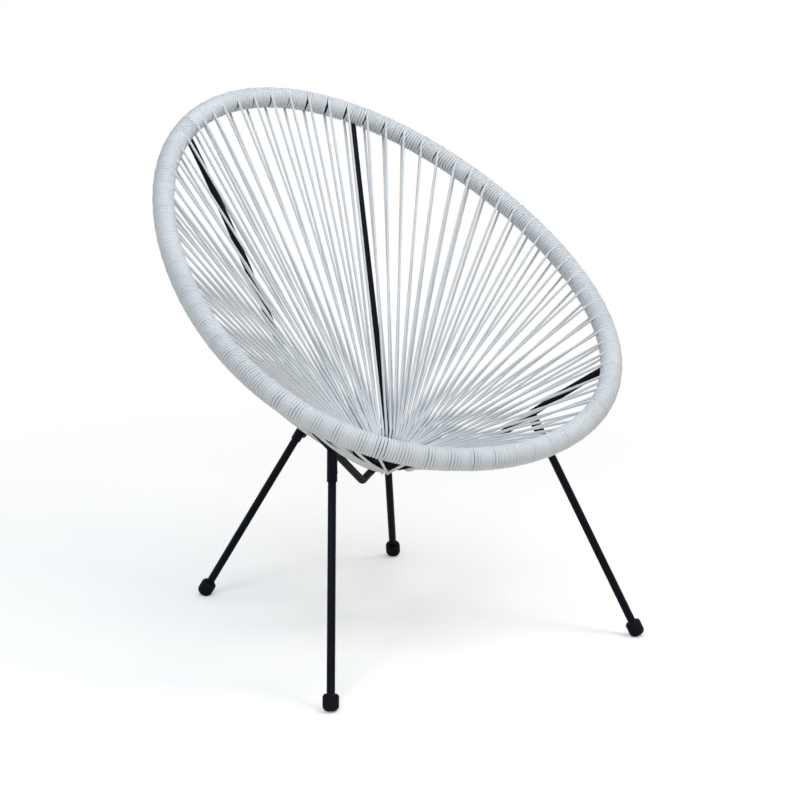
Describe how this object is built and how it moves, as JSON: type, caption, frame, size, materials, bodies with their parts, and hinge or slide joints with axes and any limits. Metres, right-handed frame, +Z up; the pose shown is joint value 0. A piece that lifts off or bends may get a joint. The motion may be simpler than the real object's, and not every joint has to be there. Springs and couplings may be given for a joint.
{
  "type": "acapulco chair",
  "caption": "Low lounge chair: an egg-shaped steel hoop wound with white cord that is strung as a bowl to a small hub, on splayed legs.",
  "frame": {"origin": "on the floor under the middle of the chair's width and depth", "axes": "+Z up, -Y towards the front lip of the seat, +X towards the side seen on the right by someone standing in front"},
  "size_m": [0.7192, 0.7895, 0.8299],
  "materials": {
    "frame": "satin black powder coat over steel tube and rod",
    "cord": "smooth round PVC cord, white, low sheen",
    "foot_cap": "moulded black rubber-like plastic",
    "screw": "black zinc"
  },
  "bodies": {
    "root": {"hoop_tube": "frame", "hub_ring": "frame", "rib_front_left": "frame", "rib_front_right": "frame", "leg_socket_front_left": "frame", "leg_socket_front_right": "frame", "leg_front_left": "frame", "leg_front_right": "frame", "leg_screw_front_left": "screw", "leg_screw_front_right": "screw", "foot_cap_front_left": "foot_cap", "foot_cap_front_right": "foot_cap", "rib_rear_left": "frame", "rib_rear_right": "frame", "leg_socket_rear_left": "frame", "leg_socket_rear_right": "frame", "leg_rear_left": "frame", "leg_rear_right": "frame", "leg_screw_rear_left": "screw", "leg_screw_rear_right": "screw", "foot_cap_rear_left": "foot_cap", "foot_cap_rear_right": "foot_cap", "cord_lip": "cord", "cord_crown": "cord", "cord_1_left": "cord", "cord_1_right": "cord", "cord_2_left": "cord", "cord_2_right": "cord", "cord_3_left": "cord", "cord_3_right": "cord", "cord_4_left": "cord", "cord_4_right": "cord", "cord_5_left": "cord", "cord_5_right": "cord"}
  },
  "joints": []
}
